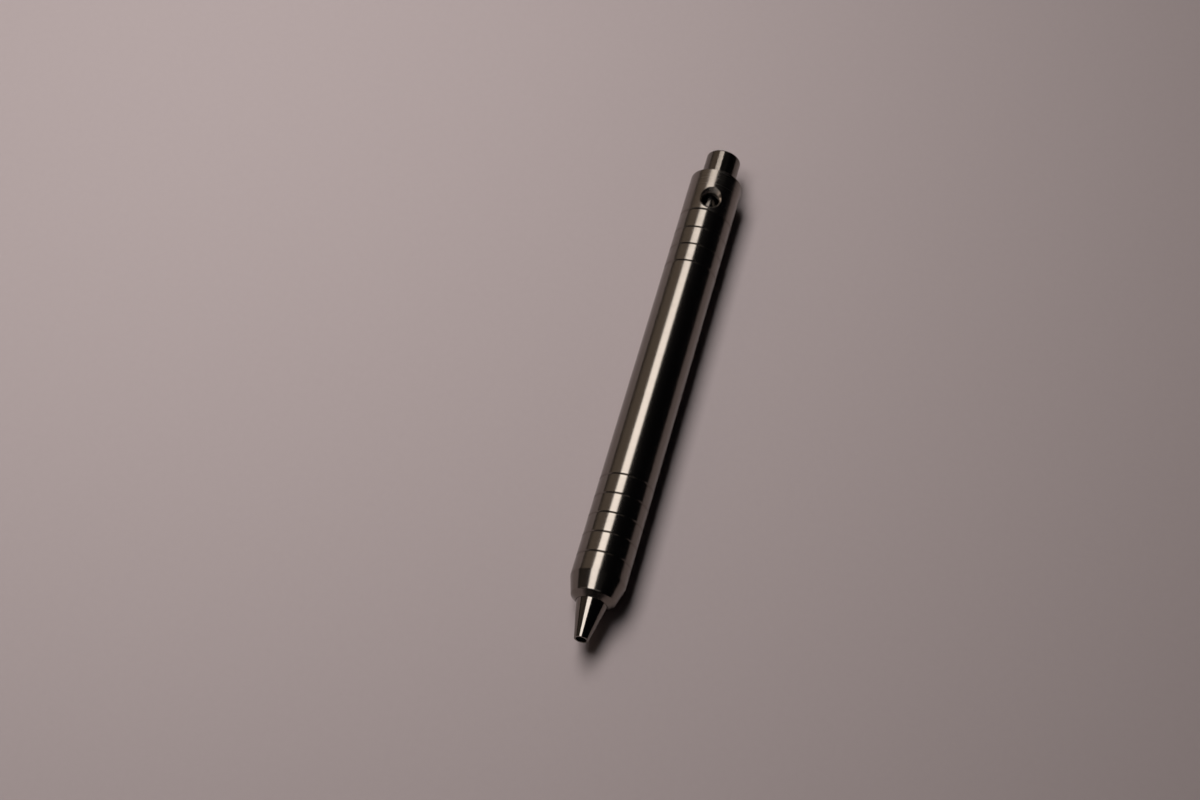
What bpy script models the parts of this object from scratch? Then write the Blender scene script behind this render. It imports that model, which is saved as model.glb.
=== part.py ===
import math

import bmesh
import bpy
from mathutils import Vector

# A retractable pen turned from metal bar. Pressing the plunger at the rear slides the refill out of the
# nose until the sprung latch in the plunger comes under the release hole of the rear cap.
# The pen lies along X on the table at z = 0, with its nose at -X and the release hole on top.
# Lengths are in metres. Places along the pen are measured from the end of the nose.

# Roundness of the turned pieces and of the springs
SEGMENTS = 32
SMALL_SEGMENTS = 24
COIL_POINTS = 10
ROUND_STEPS = 3

# Clearances
FIT_GAP = 0.0001
SLIDE_GAP = 0.0002
REST_GAP = 0.0003
EDGE_BREAK = 0.00012

# Refill
REFILL_RADIUS = 0.0029
REFILL_WALL = 0.0003
REFILL_SETBACK = 0.0015
BALL_RADIUS = 0.0005
BALL_PROUD = 0.0003
POINT_FACE_RADIUS = 0.00075
POINT_RADIUS = 0.0011
POINT_CONE_LENGTH = 0.0018
POINT_LENGTH = 0.0045
POINT_SPIGOT_LENGTH = 0.0018
POINT_SPIGOT_RADIUS = 0.0007
INK_HOLE_RADIUS = 0.0003
NECK_LENGTH = 0.0059
NECK_RADIUS = 0.0016
NECK_HEAD_LENGTH = 0.0014
NECK_SPIGOT_LENGTH = 0.0025
INK_LENGTH = 0.052
PLUG_COLLAR_LENGTH = 0.0062
PLUG_SPIGOT_LENGTH = 0.003
PLUG_VENT_RADIUS = 0.0007
PLUG_NOTCH_WIDTH = 0.0014
PLUG_NOTCH_DEPTH = 0.0012

# Nose tip
TIP_LENGTH = 0.0089
TIP_END_RADIUS = 0.00165
TIP_LIP = 0.0004
TIP_COLLAR_WALL = 0.0004
TIP_COLLAR_LENGTH = 0.0017
TIP_FLANGE_STEP = 0.00055
TIP_FLANGE_LENGTH = 0.0061
TIP_SPRING_WALL = 0.00054

# Return spring
SPRING_WIRE_RADIUS = 0.0002
SPRING_TURNS = 8

# Barrel
BARREL_LENGTH = 0.1051
SHOULDER_LENGTH = 0.00095
FRONT_LAND = 0.0015
TAPER_LENGTH = 0.00445
SOCKET_WALL = 0.00135
SOCKET_SPARE = 0.0006
GROOVE_PITCH = 0.005
GROOVE_WIDTH = 0.0004
GROOVE_DEPTH = 0.0002
GRIP_GROOVES = 5
GRIP_GROOVE_START = 0.0099
REAR_GROOVES = 3
REAR_GROOVE_END = 0.0052

# Rear cap
CAP_LENGTH = 0.0119
TAIL_LENGTH = 0.0082
TAIL_WALL = 0.0006
HOLE_RADIUS = 0.0021
HOLE_SETBACK = 0.0035
COUNTERSINK = 0.00105
CAP_STEP_WALL = 0.0023
RING_RADIUS = 0.0003
RING_SETBACK = 0.0017
PIN_RADIUS = 0.00075
PIN_SETBACK = 0.0039

# Plunger
TRAVEL = 0.005
PLUNGER_PROUD = 0.0078
PLUNGER_ROUND = 0.0004
HEAD_STEP = 0.0007
HEAD_LEAD = 0.0017
CUP_WALL = 0.0005
CUP_DEPTH = 0.003
STEM_REACH = 0.0091
KEYWAY_DEPTH = 0.0009
CLIP_THICKNESS = 0.0008
CLIP_GROOVE_DEPTH = 0.00055
CLIP_MOUTH = 0.0032

# Latch
LATCH_LIP = 0.0004
LATCH_DOME_RADIUS = 0.0036
LATCH_FLANGE = 0.001
LATCH_TRAVEL = 0.0006
POCKET_FLOOR = 0.0012
LATCH_WIRE_RADIUS = 0.00015
LATCH_TURNS = 2.75

# Radii, from the refill outwards
inner_tube_radius = REFILL_RADIUS - REFILL_WALL
spigot_radius = inner_tube_radius - FIT_GAP
cup_radius = REFILL_RADIUS + FIT_GAP
stem_radius = cup_radius + CUP_WALL
stem_bore_radius = stem_radius + FIT_GAP
head_radius = stem_radius + HEAD_STEP
cap_bore_radius = head_radius + FIT_GAP
tail_radius = cap_bore_radius + TAIL_WALL
socket_radius = tail_radius + FIT_GAP
barrel_radius = socket_radius + SOCKET_WALL

tip_passage_radius = REFILL_RADIUS + SLIDE_GAP
tip_base_radius = tip_passage_radius + TIP_COLLAR_WALL
tip_hole_radius = tip_base_radius + FIT_GAP
tip_flange_radius = tip_base_radius + TIP_FLANGE_STEP
bore_radius = tip_flange_radius + FIT_GAP
front_edge_radius = tip_hole_radius + FRONT_LAND
guide_radius = TIP_END_RADIUS - TIP_LIP

spring_radius = NECK_RADIUS + SLIDE_GAP + SPRING_WIRE_RADIUS
spring_bore_radius = spring_radius + SPRING_WIRE_RADIUS + SLIDE_GAP

clip_inner_radius = stem_radius - CLIP_GROOVE_DEPTH + FIT_GAP
clip_outer_radius = bore_radius - SLIDE_GAP

latch_radius = HOLE_RADIUS - SLIDE_GAP
flange_radius = HOLE_RADIUS + LATCH_LIP
pocket_radius = flange_radius + SLIDE_GAP
spring_pocket_radius = latch_radius + FIT_GAP

# Places along the pen
barrel_front = TIP_LENGTH
front_edge = barrel_front + SHOULDER_LENGTH
taper_end = front_edge + TAPER_LENGTH
barrel_rear = barrel_front + BARREL_LENGTH
cap_front = barrel_rear + REST_GAP
cap_rear = cap_front + CAP_LENGTH
overall_length = cap_rear + PLUNGER_PROUD

tip_seat = barrel_front + TIP_COLLAR_LENGTH
flange_front = tip_seat + REST_GAP
flange_rear = flange_front + TIP_FLANGE_LENGTH
cone_share = (spring_bore_radius + TIP_SPRING_WALL - TIP_END_RADIUS) / (tip_base_radius - TIP_END_RADIUS)
spring_seat = TIP_LENGTH * cone_share

tail_front = cap_front - TAIL_LENGTH
socket_front = tail_front - SOCKET_SPARE
hole_place = cap_front + HOLE_SETBACK
pin_place = tail_front + PIN_SETBACK
ring_place = tail_front + RING_SETBACK

latch_place = hole_place + TRAVEL
head_front = latch_place - HEAD_LEAD
cap_step = hole_place - HOLE_RADIUS - CAP_STEP_WALL
stem_front = tail_front - STEM_REACH
cup_floor = stem_front + CUP_DEPTH
clip_rear = tail_front - REST_GAP
clip_front = clip_rear - CLIP_THICKNESS
key_front = pin_place - PIN_RADIUS - REST_GAP
key_rear = pin_place + PIN_RADIUS + TRAVEL + REST_GAP

ball_place = REFILL_SETBACK + BALL_RADIUS
point_front = REFILL_SETBACK + BALL_PROUD
point_rear = REFILL_SETBACK + POINT_LENGTH
neck_front = point_rear + FIT_GAP
neck_step = spring_seat + TRAVEL + REST_GAP
neck_head = neck_step + NECK_LENGTH
neck_rear = neck_head + NECK_HEAD_LENGTH
tube_front = neck_rear + FIT_GAP
ink_front = neck_rear + NECK_SPIGOT_LENGTH + REST_GAP
refill_rear = cup_floor - REST_GAP
plug_front = refill_rear - PLUG_COLLAR_LENGTH
tube_rear = plug_front - FIT_GAP

# Heights above the pen's axis. A facet of each turned piece faces up and another down.
facet_share = math.cos(math.pi / SEGMENTS)
axis_height = barrel_radius * facet_share
cap_roof = cap_bore_radius * facet_share
latch_top = cap_roof - REST_GAP
latch_rise = barrel_radius * facet_share - latch_top
flange_top = math.sqrt(cap_roof ** 2 - flange_radius ** 2) - latch_rise
flange_bottom = flange_top - LATCH_FLANGE
flange_stop = flange_bottom - LATCH_TRAVEL - REST_GAP
pocket_bottom = POCKET_FLOOR - head_radius
keyway_floor = stem_radius - KEYWAY_DEPTH


def clear_scene():
    for old in list(bpy.data.objects):
        bpy.data.objects.remove(old, do_unlink=True)


def new_collection(name):
    collection = bpy.data.collections.new(name)
    bpy.context.scene.collection.children.link(collection)
    return collection


clear_scene()
parts = new_collection("retractable_pen")
cutters = new_collection("cutters")

# Everything hangs on one empty, on the pen's axis at the end of the nose
pen_axis = bpy.data.objects.new("pen_axis", None)
pen_axis.location = (-overall_length / 2, 0, axis_height)
parts.objects.link(pen_axis)


def metal(name, colour, roughness):
    return material(name, colour, roughness, 1.0)


def material(name, colour, roughness, metallic=0.0):
    made = bpy.data.materials.new(name)
    made.use_nodes = True
    shader = made.node_tree.nodes["Principled BSDF"]
    shader.inputs["Base Color"].default_value = (*colour, 1)
    shader.inputs["Roughness"].default_value = roughness
    shader.inputs["Metallic"].default_value = metallic
    return made


def place(made, collection, location=(0, 0, 0), turn=(0, 0, 0)):
    made.location = location
    made.rotation_euler = turn
    made.parent = pen_axis
    collection.objects.link(made)
    if collection is cutters:
        made.hide_render = True
        made.display_type = "WIRE"
    return made


def profile_mesh(name, points, closed):
    mesh = bpy.data.meshes.new(name)
    edges = [(index, index + 1) for index in range(len(points) - 1)]
    if closed:
        edges.append((len(points) - 1, 0))
    mesh.from_pydata(points, edges, [])
    return mesh


def spun(name, points, closed, axis, segments):
    made = bpy.data.objects.new(name, profile_mesh(name, points, closed))
    screw = made.modifiers.new("turn", "SCREW")
    screw.axis = axis
    screw.steps = segments
    screw.render_steps = segments
    screw.use_merge_vertices = True
    screw.merge_threshold = 0.000001
    screw.use_smooth_shade = True
    return made


def turned(name, outline, look, closed=True, segments=SEGMENTS):
    """A piece turned about the pen's axis. The outline is (place, radius), from the rear on its outer side."""
    points = [(along, radius, 0) for along, radius in outline]
    made = spun(name, points, closed, "X", segments)
    made.data.materials.append(look)
    facet_down = -math.pi / 2 - math.pi / segments
    return place(made, parts, turn=(facet_down, 0, 0))


def upright(name, outline, along, collection, segments):
    """A piece turned about a line square to the pen's axis. The outline is (radius, height), from the top."""
    points = [(radius, 0, height) for radius, height in outline]
    made = spun(name, points, False, "Z", segments)
    return place(made, collection, location=(along, 0, 0))


def cut(target, cutter):
    boolean = target.modifiers.new(cutter.name, "BOOLEAN")
    boolean.operation = "DIFFERENCE"
    boolean.solver = "EXACT"
    boolean.object = cutter


def box_cutter(name, centre, size, round_radius=0.0):
    mesh = bpy.data.meshes.new(name)
    form = bmesh.new()
    bmesh.ops.create_cube(form, size=1.0)
    bmesh.ops.scale(form, vec=size, verts=form.verts)
    if round_radius:
        corners = [edge for edge in form.edges if edge.verts[0].co.xy == edge.verts[1].co.xy]
        bmesh.ops.bevel(
            form, geom=corners, offset=round_radius, segments=ROUND_STEPS, profile=0.5, affect="EDGES"
        )
    form.to_mesh(mesh)
    form.free()
    return place(bpy.data.objects.new(name, mesh), cutters, location=centre)


def quarter_round(along, radius, size):
    """Points of a rounded rear edge, from the end face to the side."""
    angles = [math.pi / 2 * step / ROUND_STEPS for step in range(ROUND_STEPS + 1)]
    return [(along - size + size * math.cos(a), radius - size + size * math.sin(a)) for a in angles]


def groove(centre):
    half = GROOVE_WIDTH / 2
    floor = barrel_radius - GROOVE_DEPTH
    return [
        (centre + half, barrel_radius),
        (centre + half / 2, floor),
        (centre - half / 2, floor),
        (centre - half, barrel_radius),
    ]


def coil(name, radius, wire, length, turns, look, location, turn=(0, 0, 0)):
    """One unbroken wire wound about local Z, with open ends."""
    count = round(turns * COIL_POINTS)
    points = []
    for step in range(count + 1):
        angle = 2 * math.pi * step / COIL_POINTS
        points.append(Vector((radius * math.cos(angle), radius * math.sin(angle), length * step / count)))
    curve = bpy.data.curves.new(name, "CURVE")
    curve.dimensions = "3D"
    curve.bevel_depth = wire
    curve.bevel_resolution = 1
    curve.use_fill_caps = True
    spline = curve.splines.new("POLY")
    spline.points.add(len(points) - 1)
    for slot, point in zip(spline.points, points):
        slot.co = (*point, 1)
    curve.materials.append(look)
    gap = least_gap(points) - 2 * wire
    print(f"{name}: least gap between turns {gap * 1000:.2f} mm")
    return place(bpy.data.objects.new(name, curve), parts, location, turn)


def least_gap(points):
    half_turn = COIL_POINTS // 2
    pairs = ((i, j) for i in range(len(points)) for j in range(i + half_turn, len(points)))
    return min((points[i] - points[j]).length for i, j in pairs)


def make_barrel(look):
    rear_grooves = [barrel_rear - REAR_GROOVE_END - GROOVE_PITCH * step for step in range(REAR_GROOVES)]
    grip_steps = reversed(range(GRIP_GROOVES))
    grip_grooves = [barrel_front + GRIP_GROOVE_START + GROOVE_PITCH * step for step in grip_steps]
    outline = [
        (barrel_rear, socket_radius),
        (barrel_rear, barrel_radius - EDGE_BREAK),
        (barrel_rear - EDGE_BREAK, barrel_radius),
    ]
    for centre in rear_grooves + grip_grooves:
        outline += groove(centre)
    outline += [
        (taper_end, barrel_radius),
        (front_edge, front_edge_radius),
        (barrel_front, tip_hole_radius),
        (tip_seat, tip_hole_radius),
        (tip_seat, bore_radius),
        (socket_front, bore_radius),
        (socket_front, socket_radius),
    ]
    turned("barrel", outline, look)


def make_nose_tip(look):
    lead_in = tip_passage_radius - spring_bore_radius
    outline = [
        (flange_rear, tip_passage_radius),
        (flange_rear, tip_flange_radius),
        (flange_front, tip_flange_radius),
        (flange_front, tip_base_radius),
        (barrel_front, tip_base_radius),
        (0, TIP_END_RADIUS),
        (0, guide_radius),
        (spring_seat, guide_radius),
        (spring_seat, spring_bore_radius),
        (flange_front, spring_bore_radius),
        (flange_front + lead_in, tip_passage_radius),
    ]
    turned("nose_tip", outline, look)


def make_rear_cap(look):
    ring_half = RING_RADIUS + REST_GAP
    ring_floor = socket_radius - 2 * RING_RADIUS - FIT_GAP
    outline = [
        (cap_rear, cap_bore_radius),
        (cap_rear, barrel_radius - EDGE_BREAK),
        (cap_rear - EDGE_BREAK, barrel_radius),
        (cap_front + EDGE_BREAK, barrel_radius),
        (cap_front, barrel_radius - EDGE_BREAK),
        (cap_front, tail_radius),
        (ring_place + ring_half, tail_radius),
        (ring_place + ring_half, ring_floor),
        (ring_place - ring_half, ring_floor),
        (ring_place - ring_half, tail_radius),
        (tail_front, tail_radius),
        (tail_front, stem_bore_radius),
        (cap_step, stem_bore_radius),
        (cap_step, cap_bore_radius),
    ]
    cap = turned("rear_cap", outline, look)

    above = barrel_radius + COUNTERSINK
    hole_outline = [
        (0, above),
        (HOLE_RADIUS + 2 * COUNTERSINK, above),
        (HOLE_RADIUS, barrel_radius - COUNTERSINK),
        (HOLE_RADIUS, 0),
        (0, 0),
    ]
    cut(cap, upright("release_hole", hole_outline, hole_place, cutters, SEGMENTS))

    pin_hole_radius = PIN_RADIUS + FIT_GAP
    pin_hole = [(0, 0), (pin_hole_radius, 0), (pin_hole_radius, -socket_radius), (0, -socket_radius)]
    cut(cap, upright("pin_hole", pin_hole, pin_place, cutters, SMALL_SEGMENTS))


def make_cap_o_ring(look):
    mean_radius = socket_radius - FIT_GAP / 2 - RING_RADIUS
    sides = 2 * ROUND_STEPS + 2
    outline = []
    for step in range(sides):
        angle = 2 * math.pi * step / sides
        along = ring_place + RING_RADIUS * math.cos(angle)
        outline.append((along, mean_radius + RING_RADIUS * math.sin(angle)))
    turned("cap_o_ring", outline, look)


def make_guide_pin(look):
    top = -keyway_floor - REST_GAP
    bottom = -tail_radius
    outline = [(0, top), (PIN_RADIUS, top), (PIN_RADIUS, bottom), (0, bottom)]
    upright("guide_pin", outline, pin_place, parts, SMALL_SEGMENTS).data.materials.append(look)


def make_plunger(look):
    clip_floor = stem_radius - CLIP_GROOVE_DEPTH
    outline = [(overall_length, 0)]
    outline += quarter_round(overall_length, head_radius, PLUNGER_ROUND)
    outline += [
        (head_front + EDGE_BREAK, head_radius),
        (head_front, head_radius - EDGE_BREAK),
        (head_front, stem_radius),
        (clip_rear + FIT_GAP, stem_radius),
        (clip_rear + FIT_GAP, clip_floor),
        (clip_front - FIT_GAP, clip_floor),
        (clip_front - FIT_GAP, stem_radius),
        (stem_front, stem_radius),
        (stem_front, cup_radius),
        (cup_floor, cup_radius),
        (cup_floor, 0),
    ]
    plunger = turned("plunger", outline, look, closed=False)

    above = barrel_radius
    pocket = [
        (0, above),
        (pocket_radius, above),
        (pocket_radius, flange_stop),
        (spring_pocket_radius, flange_stop),
        (spring_pocket_radius, pocket_bottom),
        (0, pocket_bottom),
    ]
    cut(plunger, upright("latch_pocket", pocket, latch_place, cutters, SEGMENTS))

    key_width = 2 * (PIN_RADIUS + FIT_GAP)
    key_height = 2 * KEYWAY_DEPTH
    key_centre = ((key_front + key_rear) / 2, 0, -keyway_floor - key_height / 2)
    key_size = (key_rear - key_front, key_width, key_height)
    cut(plunger, box_cutter("keyway", key_centre, key_size, round_radius=PIN_RADIUS))


def make_retaining_clip(look):
    outline = [
        (clip_rear, clip_inner_radius),
        (clip_rear, clip_outer_radius),
        (clip_front, clip_outer_radius),
        (clip_front, clip_inner_radius),
    ]
    clip = turned("retaining_clip", outline, look)
    centre = ((clip_front + clip_rear) / 2, 0, clip_outer_radius)
    size = (2 * CLIP_THICKNESS, CLIP_MOUTH, 2 * clip_outer_radius)
    cut(clip, box_cutter("clip_mouth", centre, size))


def make_latch(look, spring_look):
    dome_centre = latch_top - LATCH_DOME_RADIUS
    dome_angle = math.asin(latch_radius / LATCH_DOME_RADIUS)
    steps = 2 * ROUND_STEPS
    outline = []
    for step in range(steps + 1):
        angle = dome_angle * step / steps
        radius = LATCH_DOME_RADIUS * math.sin(angle)
        outline.append((radius, dome_centre + LATCH_DOME_RADIUS * math.cos(angle)))
    outline += [
        (latch_radius, flange_top),
        (flange_radius, flange_top),
        (flange_radius, flange_bottom),
        (0, flange_bottom),
    ]
    upright("latch_button", outline, latch_place, parts, SMALL_SEGMENTS).data.materials.append(look)

    end_gap = LATCH_WIRE_RADIUS + FIT_GAP
    length = flange_bottom - pocket_bottom - 2 * end_gap
    coil_radius = latch_radius - LATCH_WIRE_RADIUS
    foot = (latch_place, 0, pocket_bottom + end_gap)
    coil("latch_spring", coil_radius, LATCH_WIRE_RADIUS, length, LATCH_TURNS, spring_look, foot)


def make_return_spring(look):
    end_gap = SPRING_WIRE_RADIUS + FIT_GAP
    length = neck_head - spring_seat - 2 * end_gap
    foot = (spring_seat + end_gap, 0, 0)
    along_pen = (0, math.pi / 2, 0)
    coil("return_spring", spring_radius, SPRING_WIRE_RADIUS, length, SPRING_TURNS, look, foot, along_pen)


def make_writing_ball(look):
    mesh = bpy.data.meshes.new("writing_ball")
    form = bmesh.new()
    around = SMALL_SEGMENTS // 2
    bmesh.ops.create_uvsphere(form, u_segments=around, v_segments=SMALL_SEGMENTS // 3, radius=BALL_RADIUS)
    form.to_mesh(mesh)
    form.free()
    mesh.shade_smooth()
    mesh.materials.append(look)
    place(bpy.data.objects.new("writing_ball", mesh), parts, location=(ball_place, 0, 0))


def make_refill_point(look):
    socket = BALL_RADIUS + FIT_GAP
    socket_floor = ball_place + BALL_RADIUS + FIT_GAP
    spigot_rear = point_rear + POINT_SPIGOT_LENGTH
    outline = [
        (spigot_rear, INK_HOLE_RADIUS),
        (spigot_rear, POINT_SPIGOT_RADIUS),
        (point_rear, POINT_SPIGOT_RADIUS),
        (point_rear, POINT_RADIUS),
        (point_front + POINT_CONE_LENGTH, POINT_RADIUS),
        (point_front, POINT_FACE_RADIUS),
        (point_front, socket),
        (socket_floor, socket),
        (socket_floor, INK_HOLE_RADIUS),
    ]
    turned("refill_point", outline, look, segments=SMALL_SEGMENTS)


def make_refill_neck(look):
    hole_radius = POINT_SPIGOT_RADIUS + FIT_GAP
    spigot_rear = neck_rear + NECK_SPIGOT_LENGTH
    seat_radius = spring_radius + SPRING_WIRE_RADIUS
    outline = [
        (spigot_rear, hole_radius),
        (spigot_rear, spigot_radius),
        (neck_rear, spigot_radius),
        (neck_rear, REFILL_RADIUS),
        (neck_head + REFILL_RADIUS - seat_radius, REFILL_RADIUS),
        (neck_head, seat_radius),
        (neck_head, NECK_RADIUS),
        (neck_step, NECK_RADIUS),
        (neck_step, POINT_RADIUS),
        (neck_front, POINT_RADIUS),
        (neck_front, hole_radius),
    ]
    turned("refill_neck", outline, look, segments=SMALL_SEGMENTS)


def make_refill_tube(look):
    outline = [
        (tube_rear, inner_tube_radius),
        (tube_rear, REFILL_RADIUS),
        (tube_front, REFILL_RADIUS),
        (tube_front, inner_tube_radius),
    ]
    turned("refill_tube", outline, look, segments=SMALL_SEGMENTS)


def make_ink_column(look):
    rear = ink_front + INK_LENGTH
    outline = [(rear, 0), (rear, spigot_radius), (ink_front, spigot_radius), (ink_front, 0)]
    turned("ink_column", outline, look, closed=False, segments=SMALL_SEGMENTS)


def make_refill_plug(look):
    spigot_front = plug_front - PLUG_SPIGOT_LENGTH
    outline = [
        (refill_rear, PLUG_VENT_RADIUS),
        (refill_rear, REFILL_RADIUS),
        (plug_front, REFILL_RADIUS),
        (plug_front, spigot_radius),
        (spigot_front, spigot_radius),
        (spigot_front, PLUG_VENT_RADIUS),
    ]
    plug = turned("refill_plug", outline, look, segments=SMALL_SEGMENTS)
    centre = (refill_rear, 0, 0)
    across = 3 * REFILL_RADIUS
    depth = 2 * PLUG_NOTCH_DEPTH
    cut(plug, box_cutter("plug_notch_side", centre, (depth, across, PLUG_NOTCH_WIDTH)))
    cut(plug, box_cutter("plug_notch_up", centre, (depth, PLUG_NOTCH_WIDTH, across)))


turned_steel = metal("turned_steel", (0.46, 0.45, 0.43), 0.3)
cap_steel = metal("cap_steel", (0.44, 0.43, 0.41), 0.38)
polished_steel = metal("polished_steel", (0.62, 0.61, 0.59), 0.12)
plunger_steel = metal("plunger_steel", (0.46, 0.45, 0.43), 0.34)
pin_steel = metal("pin_steel", (0.4, 0.4, 0.4), 0.35)
clip_steel = metal("clip_steel", (0.16, 0.16, 0.17), 0.4)
latch_steel = metal("latch_steel", (0.45, 0.44, 0.43), 0.3)
spring_wire = metal("spring_wire", (0.5, 0.5, 0.5), 0.28)
latch_wire = metal("latch_wire", (0.5, 0.5, 0.5), 0.28)
ball_carbide = metal("ball_carbide", (0.3, 0.3, 0.31), 0.15)
point_nickel = metal("point_nickel", (0.66, 0.63, 0.56), 0.22)
neck_brass = metal("neck_brass", (0.72, 0.52, 0.22), 0.28)
tube_metal = metal("tube_metal", (0.6, 0.6, 0.6), 0.3)
ink_black = material("ink_black", (0.01, 0.01, 0.013), 0.3)
plug_plastic = material("plug_plastic", (0.02, 0.02, 0.022), 0.45)
ring_rubber = material("ring_rubber", (0.015, 0.015, 0.015), 0.6)

make_barrel(turned_steel)
make_nose_tip(polished_steel)
make_rear_cap(cap_steel)
make_cap_o_ring(ring_rubber)
make_guide_pin(pin_steel)
make_plunger(plunger_steel)
make_retaining_clip(clip_steel)
make_latch(latch_steel, latch_wire)
make_return_spring(spring_wire)
make_writing_ball(ball_carbide)
make_refill_point(point_nickel)
make_refill_neck(neck_brass)
make_refill_tube(tube_metal)
make_ink_column(ink_black)
make_refill_plug(plug_plastic)

print(f"refill length {(refill_rear - REFILL_SETBACK) * 1000:.1f} mm")
print(f"pen {overall_length * 1000:.1f} mm long, {2 * barrel_radius * 1000:.2f} mm across")
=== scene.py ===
import math

import bmesh
import bpy
from mathutils import Matrix, Quaternion, Vector


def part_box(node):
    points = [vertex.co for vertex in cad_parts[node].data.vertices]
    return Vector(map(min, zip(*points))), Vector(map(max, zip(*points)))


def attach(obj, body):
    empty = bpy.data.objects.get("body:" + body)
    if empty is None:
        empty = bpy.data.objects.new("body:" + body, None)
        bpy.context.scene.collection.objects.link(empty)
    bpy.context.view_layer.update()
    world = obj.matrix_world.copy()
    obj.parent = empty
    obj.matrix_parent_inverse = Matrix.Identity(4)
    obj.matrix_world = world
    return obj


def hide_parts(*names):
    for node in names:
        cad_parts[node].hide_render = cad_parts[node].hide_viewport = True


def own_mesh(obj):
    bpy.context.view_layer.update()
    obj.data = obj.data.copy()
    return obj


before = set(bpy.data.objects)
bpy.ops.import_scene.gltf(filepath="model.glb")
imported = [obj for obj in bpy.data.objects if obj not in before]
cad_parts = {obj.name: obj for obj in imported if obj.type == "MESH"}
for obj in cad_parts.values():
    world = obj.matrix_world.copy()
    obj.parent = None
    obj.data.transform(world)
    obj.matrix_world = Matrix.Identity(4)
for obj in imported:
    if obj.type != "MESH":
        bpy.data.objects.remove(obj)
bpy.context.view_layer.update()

# Lengths below are in millimetres. Places along the pen start at the end of the nose.
mm = 0.001
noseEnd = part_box("nose_tip")[0].x
axisHeight = (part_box("barrel")[0].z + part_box("barrel")[1].z) / 2
mergeGap = 1e-7  # points nearer than this are one
roundSteps = 3  # faces across a rounded edge


def spanOf(node):  # first and last place of a solid along the pen
    low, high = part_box(node)
    return (low.x - noseEnd) / mm, (high.x - noseEnd) / mm


def heightsOf(node):  # lowest and highest point of a solid, from the pen's axis
    low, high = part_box(node)
    return (low.z - axisHeight) / mm, (high.z - axisHeight) / mm


def spot(along, side=0.0, up=0.0):  # a point of the frame, in metres
    return Vector((noseEnd + along * mm, side * mm, axisHeight + up * mm))


# modelling helpers

def drawOutline(form, corners, closed):  # corners are (point, rounding) pairs
    verts = [form.verts.new(point) for point, rounding in corners]
    pairs = list(zip(verts, verts[1:]))
    if closed:
        pairs.append((verts[-1], verts[0]))
    for first, second in pairs:
        form.edges.new((first, second))
    for vert, (point, rounding) in zip(verts, corners):
        if rounding:
            bmesh.ops.bevel(
                form, geom=[vert], offset=rounding * mm, offset_type="OFFSET", segments=roundSteps,
                profile=0.5, affect="VERTICES", material=-1, clamp_overlap=True,
            )


def spinOutline(form, centre, axis, steps):
    bmesh.ops.spin(
        form, geom=form.verts[:] + form.edges[:], cent=centre, axis=axis,
        angle=2 * math.pi, steps=steps, use_merge=True,
    )
    bmesh.ops.remove_doubles(form, verts=form.verts, dist=mergeGap)
    bmesh.ops.recalc_face_normals(form, faces=form.faces)


def cornerOf(row, along=0.0):  # an outline's rows are a place, a height and, for some, a rounding
    rounding = row[2] if len(row) > 2 else 0
    return spot(along + row[0], up=row[1]), rounding


def turnedForm(outline, steps, closed=True):  # turned about the pen's axis
    form = bmesh.new()
    drawOutline(form, [cornerOf(row) for row in outline], closed)
    spinOutline(form, spot(0), (1, 0, 0), steps)
    return form


def uprightForm(outline, along, steps):  # turned about a line square to the pen
    form = bmesh.new()
    drawOutline(form, [cornerOf(row, along) for row in outline], closed=False)
    spinOutline(form, spot(along), (0, 0, 1), steps)
    return form


def blockForm(centre, size):
    form = bmesh.new()
    bmesh.ops.create_cube(form, size=mm)
    bmesh.ops.scale(form, vec=size, verts=form.verts)
    bmesh.ops.translate(form, vec=centre, verts=form.verts)
    return form


def meshObject(name, form):
    mesh = bpy.data.meshes.new(name)
    form.to_mesh(mesh)
    form.free()
    made = bpy.data.objects.new(name, mesh)
    bpy.context.scene.collection.objects.link(made)
    return made


def cutAway(piece, cutterForm):
    cutter = meshObject("cutter", cutterForm)
    cut = piece.modifiers.new("cut", "BOOLEAN")
    cut.operation = "DIFFERENCE"
    cut.solver = "EXACT"
    cut.object = cutter
    bpy.context.view_layer.update()
    solid = piece.evaluated_get(bpy.context.evaluated_depsgraph_get())
    cutMesh = bpy.data.meshes.new_from_object(solid)
    piece.modifiers.clear()
    piece.data = cutMesh
    bpy.data.objects.remove(cutter, do_unlink=True)


def insideAny(points, circles):  # circles are (place, radius) pairs, seen from above
    return any(
        all((point.xy - spot(along).xy).length < radius * mm for point in points)
        for along, radius in circles
    )


def shadeTurned(piece, strip=0.3, keepOut=()):
    # faces longer than a strip get the exact normals of their cylinder or cone, but not those of cut holes
    mesh = piece.data
    normals = [Vector() for loop in mesh.loops]
    for face in mesh.polygons:
        spots = [mesh.vertices[index].co for index in face.vertices]
        if insideAny(spots, keepOut):
            continue
        rays = [Vector((0, point.y, point.z - axisHeight)) for point in spots]
        radii = [ray.length for ray in rays]
        places = [point.x for point in spots]
        if math.hypot(max(places) - min(places), max(radii) - min(radii)) < strip * mm:
            continue
        middle = Vector((0, face.center.y, face.center.z - axisHeight))
        outwards = 1 if face.normal.dot(middle) >= 0 else -1
        slope = face.normal.x
        side = outwards * math.sqrt(max(0.0, 1 - slope * slope))
        for loop, ray in zip(face.loop_indices, rays):
            ray = ray.normalized()
            normals[loop] = Vector((slope, side * ray.y, side * ray.z)).normalized()
    mesh.normals_split_custom_set(normals)


def finishPiece(piece, body, node, finish, sharpAngle=32):
    mesh = piece.data
    mesh.shade_smooth()
    mesh.set_sharp_from_angle(angle=math.radians(sharpAngle))
    mesh.materials.clear()
    mesh.materials.append(finish)
    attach(piece, body)
    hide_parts(node)
    print("piece", piece.name, "on", body, "with", len(mesh.polygons), "faces")


# finishes

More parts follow.
